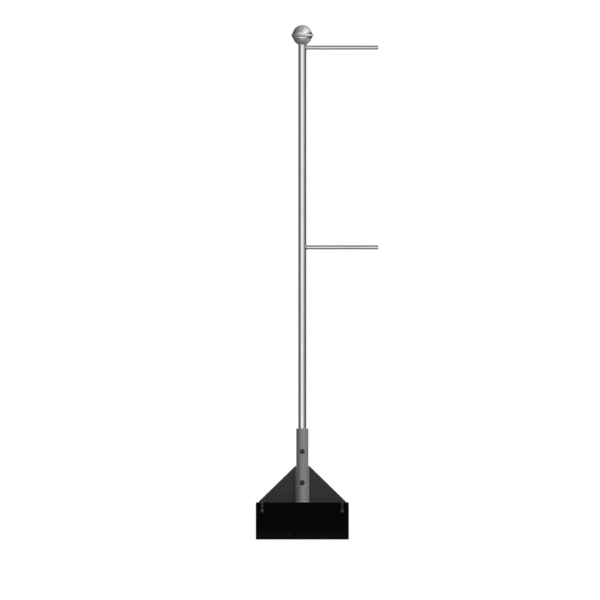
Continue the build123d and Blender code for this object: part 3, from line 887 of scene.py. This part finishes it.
class FLAGPOLE_OT_sleeve(bpy.types.Operator):
    """Finish the sleeve, weld it to the plate and the gussets, and thread the two fixing bolts through it"""

    bl_idname = "flagpole.sleeve"
    bl_label = "Sleeve"

    def execute(self, context):
        look = context.scene.flagpole_base
        detail = context.scene.flagpole_detail
        grey = sleeve_steel(look)
        dress(grey, "pole_sleeve")
        upright_beads = [self.upright_bead(side, face, detail) for side, face in BEAD_CORNERS]
        beads = [self.foot_bead(detail), *upright_beads]
        add_piece("sleeve_weld_beads", beads, grey, "base_weld", BEAD_SHARP_ANGLE)
        steel = dark_steel("fixing_steel", look.fixing_colour, roughness=0.45)
        for place in PLACES:
            dress(steel, f"{place}_fixing_washer", f"{place}_fixing_nut")
            node_name = f"{place}_fixing_bolt"
            add_piece(f"threaded_{node_name}", [self.bolt(place, detail)], steel, node_name)
        return {"FINISHED"}

    def foot_bead(self, detail):
        """The bead round the sleeve's foot: a circle, with one toe on the plate and one on the sleeve."""
        leg = foot_weld_reach - sleeve_radius
        spoke = level_circle(bead_steps(2 * pi * sleeve_radius, detail))
        root = spoke * sleeve_radius + (0, 0, block_top)
        return weld_bead(root, root + spoke * leg, root + (0, 0, leg), detail, closed_path=True)

    def upright_bead(self, side, face, detail):
        """A straight bead between a gusset's face and the sleeve. Its far toe lies on the sleeve's circle."""
        leg = detail.gusset_weld
        z = straight_path(block_top + detail.gusset_corner, gusset_high.z, detail)

        def on_sleeve(depth):
            x = sqrt(sleeve_radius**2 - depth**2)
            return np.stack([0 * z + side * x, 0 * z + face * depth, z], axis=1)

        root = on_sleeve(gusset_high.y)
        return weld_bead(root, root + (side * leg, 0, 0), on_sleeve(gusset_high.y + leg), detail)

    def bolt(self, place, detail):
        """One fixing bolt. Its seat is as far in front of the pole's axis as the washer's is behind it."""
        low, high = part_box(f"{place}_fixing_bolt")
        seat_y = -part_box(f"{place}_fixing_washer")[0].y
        seat = (0, seat_y, (low.z + high.z) / 2)
        return button_bolt(seat, seat_y - low.y, high.x, seat_y - high.y, detail)


LINES_ALONG = 5  # polishing lines in a metre along the grain


class FLAGPOLE_OT_pole(bpy.types.Operator):
    """Finish the pole's tube and the plug in its top"""

    bl_idname = "flagpole.pole"
    bl_label = "Pole"

    def execute(self, context):
        look = context.scene.flagpole_metal
        lines = (look.tube_lines, look.tube_lines, LINES_ALONG)
        metal = drawn_metal("tube_metal", look.tube_colour, look.tube_roughness, lines)
        dress(metal, "pole_tube", "finial_plug")
        return {"FINISHED"}


class FLAGPOLE_OT_banner_arms(bpy.types.Operator):
    """Finish the two banner arms and their caps, and weld them to the pole with rippled beads"""

    bl_idname = "flagpole.banner_arms"
    bl_label = "Banner Arms"

    def execute(self, context):
        look = context.scene.flagpole_metal
        lines = (LINES_ALONG, look.tube_lines, look.tube_lines)
        metal = drawn_metal("arm_metal", look.arm_colour, look.arm_roughness, lines)
        weld = arm_weld_metal(look)
        for place in PLACES:
            dress(metal, f"{place}_arm", f"{place}_arm_cap")
            node_name = f"{place}_arm_weld"
            bead = self.saddle_bead(place, context.scene.flagpole_detail)
            add_piece(f"{node_name}_bead", [bead], weld, node_name, BEAD_SHARP_ANGLE)
        return {"FINISHED"}

    def saddle_bead(self, place, detail):
        """The bead in the corner between the pole and an arm.

        Its root is the curve where the two cylinders meet: a circle about the arm's axis, whose reach is
        the pole's circle at that depth. One toe is the same curve of a wider circle, and the other lies
        further out along the arm.
        """
        arm_low, arm_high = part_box(f"{place}_arm")
        radius = arm_high.y
        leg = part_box(f"{place}_arm_weld")[1].y - radius
        level = (arm_low.z + arm_high.z) / 2
        angle = full_turn(bead_steps(2 * pi * radius, detail))

        def on_pole(distance):
            depth = distance * np.cos(angle)
            reach = np.sqrt(tube_radius**2 - depth**2)
            return np.stack([reach, depth, level + distance * np.sin(angle)], axis=1)

        root = on_pole(radius)
        return weld_bead(root, on_pole(radius + leg), root + (leg, 0, 0), detail, closed_path=True)


BALL_STEPS = 128  # points round the ball, and in the sections of its band and its rims
BAND_SECTION = 25
RIM_SECTION = 24


class FLAGPOLE_OT_ball(bpy.types.Operator):
    """Finish the ball's two shells, turn its band, and lay a flat rim above and below the band"""

    bl_idname = "flagpole.ball"
    bl_label = "Ball"

    def execute(self, context):
        look = context.scene.flagpole_metal
        shell_metal = spun_metal("shell_metal", look.ball_colour, look.ball_metal, look.ball_roughness, look)
        dress(shell_metal, "finial_lower_shell", "finial_upper_shell")
        band_metal = spun_metal("band_metal", look.band_colour, look.ball_metal, look.ball_roughness, look)
        add_piece("ridged_finial_band", [self.band(look)], band_metal, "finial_band")
        rim_metal = spun_metal("rim_metal", look.rim_colour, 1.0, look.rim_roughness, look)
        rims = [self.rim(look, shell_centre, side) for shell_centre, side in SHELL_CENTRES]
        add_piece("finial_rims", rims, rim_metal)
        return {"FINISHED"}

    def on_shell(self, level, shell_centre):
        """Radius at a level: the root of the shell's squared less the height over its centre squared."""
        return sqrt(shell_radius**2 - (level - shell_centre)**2)

    def carried_round(self, reach, height):
        """A closed section, carried round the ball on a circle."""
        angle = full_turn(BALL_STEPS)[:, None]
        rings = np.stack([reach * np.cos(angle), reach * np.sin(angle), height + 0 * angle], axis=-1)
        return join_rings(rings, closed_path=True)

    def band(self, look):
        """The band's ridge.

        Its reach is a hyperbola of the height over the ball's middle, from the shells to the tip and back.
        Two points inside the shells close the section.
        """
        half = look.band_height / 2
        height = np.linspace(-half, half, BAND_SECTION)
        bend = np.sqrt(height**2 + look.band_tip**2) - look.band_tip
        foot = self.on_shell(ball_middle + half, upper_shell_centre)
        reach = band_reach - (band_reach - foot) * bend / bend[0]
        inside = foot - look.rim_depth
        section_heights = np.concatenate([height, [half, -half]])
        return self.carried_round(np.concatenate([reach, [inside, inside]]), ball_middle + section_heights)

    def rim(self, look, shell_centre, side):
        """A flat-faced ring beside the band's ridge.

        The section is a box with round corners, whose coordinates are fourth roots of a cosine and a sine.
        """
        level = ball_middle + side * look.rim_level
        section = full_turn(RIM_SECTION)

        def fourth_root(wave):
            return np.sign(wave) * np.abs(wave)**0.25

        reach = self.on_shell(level, shell_centre) + look.rim_depth * fourth_root(np.cos(section))
        return self.carried_round(reach, level + look.rim_height / 2 * fourth_root(np.sin(section)))


# Stage

WHITE = (1, 1, 1, 1)
FLOOR_GREY = (0.42, 0.42, 0.42, 1)
FLOOR_SIDES = 96
FLOOR_WHITENESS = 0.45  # how white the floor already is where its fade starts
FLOOR_FADE_START = 0.25  # where the fade starts, as a share of where it ends
TENT_RINGS = 33
TENT_HOLE = 0.02  # angle from the upright axis to the tent's first ring

# Each lobe of the tent's glow: where it points, and the power of the angle with which it falls off
TENT_LOBES = {
    "front": ((-0.123, -0.99, -0.073), 1.0),
    "back": ((0, 1, 0), 1.0),
    "canopy": ((0.706, -0.128, 0.696), 2.0),
    "panel": ((0.52, -0.69, 0.5), 2.0),
}

# Each lamp: the setting that holds its power, its size and its place
LAMPS = {
    "key_lamp": ("key_power", 4.5, (6.0, -5.1, 8.5)),
    "fill_lamp": ("fill_power", 0.7, (-1.5, -1.3, 0.75)),
    "back_lamp": ("back_power", 3.0, (-1.5, 4.5, 3.6)),
}


class FLAGPOLE_OT_stage(bpy.types.Operator):
    """Set up the floor, the light tent, the lamps, the world and the camera"""

    bl_idname = "flagpole.stage"
    bl_label = "Studio"

    def execute(self, context):
        stage = context.scene.flagpole_stage
        self.add_floor(stage)
        self.add_tent(stage)
        self.set_world(context.scene, stage)
        for name, (power, size, place) in LAMPS.items():
            self.add_lamp(name, getattr(stage, power), size, place, stage.view_centre)
        self.add_camera(context.scene, stage)
        context.scene.view_settings.view_transform = "Standard"
        return {"FINISHED"}

    def new_tree(self, owner):
        """The emptied node tree of a material or a world."""
        owner.use_nodes = True
        owner.node_tree.nodes.clear()
        return owner.node_tree

    def white_where_seen(self, tree, lit, glow_kind, share):
        """A lit shader mixed with a white glow, by a share.

        The glow shows to rays from the camera, from a reflection and through glass, and lights nothing else.
        """
        path = add_node(tree, "ShaderNodeLightPath").outputs
        either = maths(tree, "MAXIMUM", path["Is Camera Ray"], path["Is Glossy Ray"])
        seen = maths(tree, "MAXIMUM", either, path["Is Transmission Ray"])
        white = add_node(tree, glow_kind, {"Color": WHITE, "Strength": 1.0})
        inputs = {0: maths(tree, "MULTIPLY", share, seen), 1: lit.outputs[0], 2: white.outputs[0]}
        return add_node(tree, "ShaderNodeMixShader", inputs).outputs[0]

    def add_stage_object(self, name, mesh, material):
        """An object that belongs to the studio and not to the flagpole."""
        mesh.materials.append(material)
        made = bpy.data.objects.new(name, mesh)
        bpy.context.scene.collection.objects.link(made)
        return made

    def hide_from(self, made, *rays):
        """Keep an object unseen by some kinds of ray."""
        for ray in rays:
            setattr(made, f"visible_{ray}", False)

    def add_floor(self, stage):
        """A round floor that keeps the shadow near the block and fades to white around it."""
        cloth = bpy.data.materials.new("pale_floor")
        tree = self.new_tree(cloth)
        distance = vector_maths(tree, "LENGTH", add_node(tree, "ShaderNodeTexCoord").outputs["Object"])
        fade_start = FLOOR_FADE_START * stage.floor_fade
        fade = ramp(tree, distance, fade_start, stage.floor_fade, to_low=FLOOR_WHITENESS)
        lit = add_node(tree, "ShaderNodeBsdfDiffuse", {"Color": FLOOR_GREY})
        surface = self.white_where_seen(tree, lit, "ShaderNodeEmission", fade)
        add_node(tree, "ShaderNodeOutputMaterial", {"Surface": surface})
        rim = level_circle(FLOOR_SIDES) * stage.floor_radius
        mesh = bpy.data.meshes.new("floor")
        mesh.from_pydata(rim.tolist(), [], [list(range(FLOOR_SIDES))])
        self.hide_from(self.add_stage_object("floor", mesh, cloth), "glossy")

    def tent_glow(self, tree, stage):
        """The tent's glow as a sum of lobes.

        Each falls as an exponential of the angle from its direction, over its spread and to its power. The
        two panels' power is 2, which makes a bell curve.
        """
        place = add_node(tree, "ShaderNodeTexCoord").outputs["Object"]
        direction = vector_maths(tree, "NORMALIZE", place)
        glow = 0.0
        for name, (aim, power) in TENT_LOBES.items():
            angle = maths(tree, "ARCCOSINE", vector_maths(tree, "DOT_PRODUCT", direction, aim))
            over_spread = maths(tree, "DIVIDE", angle, getattr(stage, f"{name}_spread"))
            fall = maths(tree, "POWER", over_spread, power)
            lobe = maths(tree, "EXPONENT", maths(tree, "MULTIPLY", fall, -1.0))
            glow = maths(tree, "MULTIPLY_ADD", lobe, getattr(stage, f"{name}_glow"), glow)
        return glow

    def add_tent(self, stage):
        """A round light tent that only reflections show: rings of a sphere about the middle of the view."""
        cloth = bpy.data.materials.new("tent_cloth")
        cloth.cycles.emission_sampling = "NONE"
        tree = self.new_tree(cloth)
        glow = {"Color": WHITE, "Strength": self.tent_glow(tree, stage)}
        light = add_node(tree, "ShaderNodeEmission", glow)
        add_node(tree, "ShaderNodeOutputMaterial", {"Surface": light.outputs[0]})
        slope = np.linspace(TENT_HOLE, pi - TENT_HOLE, TENT_RINGS)[:, None] + 0 * turn
        rings = (stage.tent_radius * np.sin(slope), stage.tent_radius * np.cos(slope))
        mesh = fill_mesh("light_tent", [turned_surface((0, 0, 0), (0, 0, 1), (1, 0, 0), [rings])])
        mesh.shade_smooth()
        tent = self.add_stage_object("light_tent", mesh, cloth)
        tent.location = stage.view_centre
        self.hide_from(tent, "camera", "diffuse", "shadow", "transmission")

    def set_world(self, scene, stage):
        """White where it is seen, and an even light of its own strength elsewhere."""
        scene.world = bpy.data.worlds.new("studio")
        tree = self.new_tree(scene.world)
        even = add_node(tree, "ShaderNodeBackground", {"Color": WHITE, "Strength": stage.ambient})
        surface = self.white_where_seen(tree, even, "ShaderNodeBackground", 1.0)
        add_node(tree, "ShaderNodeOutputWorld", {"Surface": surface})

    def add_lamp(self, name, power, size, place, target):
        """A square soft lamp that points at a target and isn't seen in the metal."""
        data = bpy.data.lights.new(name, "AREA")
        data.energy = power
        data.size = size
        lamp = bpy.data.objects.new(name, data)
        bpy.context.scene.collection.objects.link(lamp)
        lamp.location = place
        lamp.rotation_euler = (Vector(target) - Vector(place)).to_track_quat("-Z", "Y").to_euler()
        self.hide_from(lamp, "camera", "glossy")

    def add_camera(self, scene, stage):
        """A camera with no perspective that looks level at the front."""
        data = bpy.data.cameras.new("camera")
        data.type = "ORTHO"
        data.ortho_scale = stage.view_height
        camera = bpy.data.objects.new("camera", data)
        scene.collection.objects.link(camera)
        x, y, z = stage.view_centre
        camera.location = (x, y - stage.camera_distance, z)
        camera.rotation_euler = (radians(90), 0, 0)
        scene.camera = camera


SETTINGS = {
    "flagpole_metal": MetalSettings,
    "flagpole_base": BaseSettings,
    "flagpole_detail": DetailSettings,
    "flagpole_stage": StageSettings,
}
STEPS = (
    FLAGPOLE_OT_block,
    FLAGPOLE_OT_base_steel,
    FLAGPOLE_OT_hold_down_bolts,
    FLAGPOLE_OT_sleeve,
    FLAGPOLE_OT_pole,
    FLAGPOLE_OT_banner_arms,
    FLAGPOLE_OT_ball,
    FLAGPOLE_OT_stage,
)


class FLAGPOLE_PT_steps(bpy.types.Panel):
    """Lists the steps that finish the flagpole, and their settings"""

    bl_idname = "FLAGPOLE_PT_steps"
    bl_label = "Flagpole"
    bl_space_type = "VIEW_3D"
    bl_region_type = "UI"
    bl_category = "Flagpole"

    def draw(self, context):
        for step in STEPS:
            self.layout.operator(step.bl_idname)
        for name, group in SETTINGS.items():
            for setting in group.__annotations__:
                self.layout.prop(getattr(context.scene, name), setting)


def register():
    for name, group in SETTINGS.items():
        bpy.utils.register_class(group)
        setattr(bpy.types.Scene, name, bpy.props.PointerProperty(type=group))
    for step in (*STEPS, FLAGPOLE_PT_steps):
        bpy.utils.register_class(step)


def unregister():
    for step in reversed((*STEPS, FLAGPOLE_PT_steps)):
        bpy.utils.unregister_class(step)
    for name, group in SETTINGS.items():
        delattr(bpy.types.Scene, name)
        bpy.utils.unregister_class(group)


def main():
    register()
    bpy.ops.flagpole.block()
    bpy.ops.flagpole.base_steel()
    bpy.ops.flagpole.hold_down_bolts()
    bpy.ops.flagpole.sleeve()
    bpy.ops.flagpole.pole()
    bpy.ops.flagpole.banner_arms()
    bpy.ops.flagpole.ball()
    bpy.ops.flagpole.stage()


if __name__ == "__main__":
    main()
